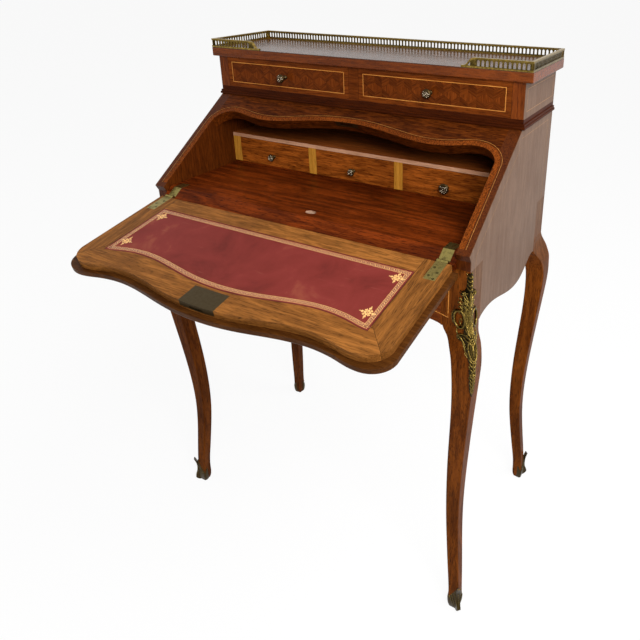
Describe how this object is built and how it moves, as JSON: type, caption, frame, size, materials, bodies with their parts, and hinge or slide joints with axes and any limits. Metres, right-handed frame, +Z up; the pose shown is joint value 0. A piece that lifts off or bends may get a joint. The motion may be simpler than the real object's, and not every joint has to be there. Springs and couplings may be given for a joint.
{
  "type": "slant-front writing desk",
  "caption": "Lady's slant-front writing desk on four cabriole legs, with an open leather-lined fall, small inner drawers, a covered well, frieze drawers and a pierced gallery.",
  "frame": {"origin": "on the floor, under the middle of the outer box of the desk with its fall open", "axes": "+X to the desk's right as seen from the front, +Y to the back, +Z up; the open fall points to -Y"},
  "size_m": [0.6646, 0.599, 0.951],
  "materials": {
    "carcase_veneer": "satin",
    "leg_wood": "satin",
    "drawer_veneer": "polished",
    "fall_veneer": "satin",
    "floor_veneer": "satin",
    "nest_wood": "satin",
    "satinwood": "satin",
    "secondary_wood": "matte",
    "tooled_leather": "satin",
    "gilt_bronze": "satin",
    "dark_bronze": "satin",
    "hinge_brass": "satin",
    "lock_steel": "satin"
  },
  "bodies": {
    "case": {"back_panel": "secondary_wood", "floor_ledge": "floor_veneer", "floor_strip_left": "floor_veneer", "floor_strip_right": "floor_veneer", "front_rail": "carcase_veneer", "gallery_back": "gilt_bronze", "gallery_left": "gilt_bronze", "gallery_right": "gilt_bronze", "hinge_case_leaves": "hinge_brass", "hinge_pins": "hinge_brass", "knee_mount_left": "gilt_bronze", "knee_mount_right": "gilt_bronze", "leg_back_left": "leg_wood", "leg_back_right": "leg_wood", "leg_front_left": "leg_wood", "leg_front_right": "leg_wood", "lock_strike": "hinge_brass", "nest_bottom": "floor_veneer", "nest_divider_left": "satinwood", "nest_divider_right": "satinwood", "nest_shelf": "satinwood", "nest_stile_left": "satinwood", "nest_stile_right": "satinwood", "shoe_back_left": "dark_bronze", "shoe_back_right": "dark_bronze", "shoe_front_left": "dark_bronze", "shoe_front_right": "dark_bronze", "side_panel_left": "carcase_veneer", "side_panel_right": "carcase_veneer", "slant_rail": "drawer_veneer", "top_board": "drawer_veneer", "upper_back": "secondary_wood", "upper_divider": "carcase_veneer", "upper_side_left": "carcase_veneer", "upper_side_right": "carcase_veneer", "waist_board": "carcase_veneer", "well_bottom": "secondary_wood"},
    "fall": {"fall_board": "fall_veneer", "fall_lip": "fall_veneer", "fall_leather": "tooled_leather", "lock_case": "lock_steel", "hinge_fall_leaves": "hinge_brass"},
    "lock_bolt": {"lock_bolt": "lock_steel"},
    "well_lid": {"well_lid": "floor_veneer"},
    "frieze_drawer_left": {"frieze_drawer_front_left": "drawer_veneer", "frieze_drawer_box_left": "secondary_wood", "frieze_drawer_knob_left": "dark_bronze"},
    "frieze_drawer_right": {"frieze_drawer_front_right": "drawer_veneer", "frieze_drawer_box_right": "secondary_wood", "frieze_drawer_knob_right": "dark_bronze"},
    "inner_drawer_left": {"inner_drawer_front_left": "nest_wood", "inner_drawer_box_left": "secondary_wood", "inner_drawer_knob_left": "dark_bronze"},
    "inner_drawer_centre": {"inner_drawer_front_centre": "nest_wood", "inner_drawer_box_centre": "secondary_wood", "inner_drawer_knob_centre": "dark_bronze"},
    "inner_drawer_right": {"inner_drawer_front_right": "nest_wood", "inner_drawer_box_right": "secondary_wood", "inner_drawer_knob_right": "dark_bronze"}
  },
  "joints": [
    {"name": "fall_hinge", "type": "hinge", "parent": "case", "child": "fall", "pos_m": [0, -0.08143, 0.6956], "axis": [1, 0, 0], "range_deg": [-156.3, 0]},
    {"name": "lock_bolt_slide", "type": "slide", "parent": "fall", "child": "lock_bolt", "axis": [0, -0.9816, -0.1908], "range_m": [0, 0.006]},
    {"name": "well_lid_slide", "type": "slide", "parent": "case", "child": "well_lid", "axis": [0, 1, 0], "range_m": [0, 0.14]},
    {"name": "frieze_drawer_left_slide", "type": "slide", "parent": "case", "child": "frieze_drawer_left", "axis": [0, -1, 0], "range_m": [0, 0.11]},
    {"name": "frieze_drawer_right_slide", "type": "slide", "parent": "case", "child": "frieze_drawer_right", "axis": [0, -1, 0], "range_m": [0, 0.11]},
    {"name": "inner_drawer_left_slide", "type": "slide", "parent": "case", "child": "inner_drawer_left", "axis": [0, -1, 0], "range_m": [0, 0.1]},
    {"name": "inner_drawer_centre_slide", "type": "slide", "parent": "case", "child": "inner_drawer_centre", "axis": [0, -1, 0], "range_m": [0, 0.1]},
    {"name": "inner_drawer_right_slide", "type": "slide", "parent": "case", "child": "inner_drawer_right", "axis": [0, -1, 0], "range_m": [0, 0.1]}
  ]
}
